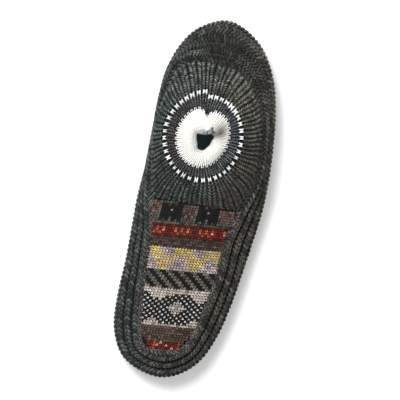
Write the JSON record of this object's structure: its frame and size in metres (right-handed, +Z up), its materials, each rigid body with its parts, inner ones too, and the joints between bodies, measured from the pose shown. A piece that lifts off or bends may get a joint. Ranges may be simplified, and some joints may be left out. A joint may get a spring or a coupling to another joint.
{
  "type": "knitted slipper",
  "caption": "Low soft knitted slipper for a left foot: patterned vamp, ribbed collar drawn to a small mouth with a pale cuff, thick dark band round the foot, flat knitted sole.",
  "frame": {"origin": "on the floor under the middle of the slipper's length and width", "axes": "+X from heel to toe, +Y to the outer side of a left foot, +Z up"},
  "size_m": [0.2616, 0.0934, 0.0576],
  "materials": {
    "sole_knit": "thick dark wool knit, matt and fuzzy",
    "insole_felt": "grey wool felt, matt",
    "upper_knit": "wool knit, dark marl ribs and a multicolour patterned vamp, matt",
    "band_knit": "chunky charcoal marl wool in garter ridges, matt and fuzzy",
    "cuff_knit": "cream wool knit with fine radial ribs, matt"
  },
  "bodies": {
    "root": {"sole": "sole_knit", "insole": "insole_felt", "upper": "upper_knit", "side_band": "band_knit", "cuff": "cuff_knit"}
  },
  "joints": []
}
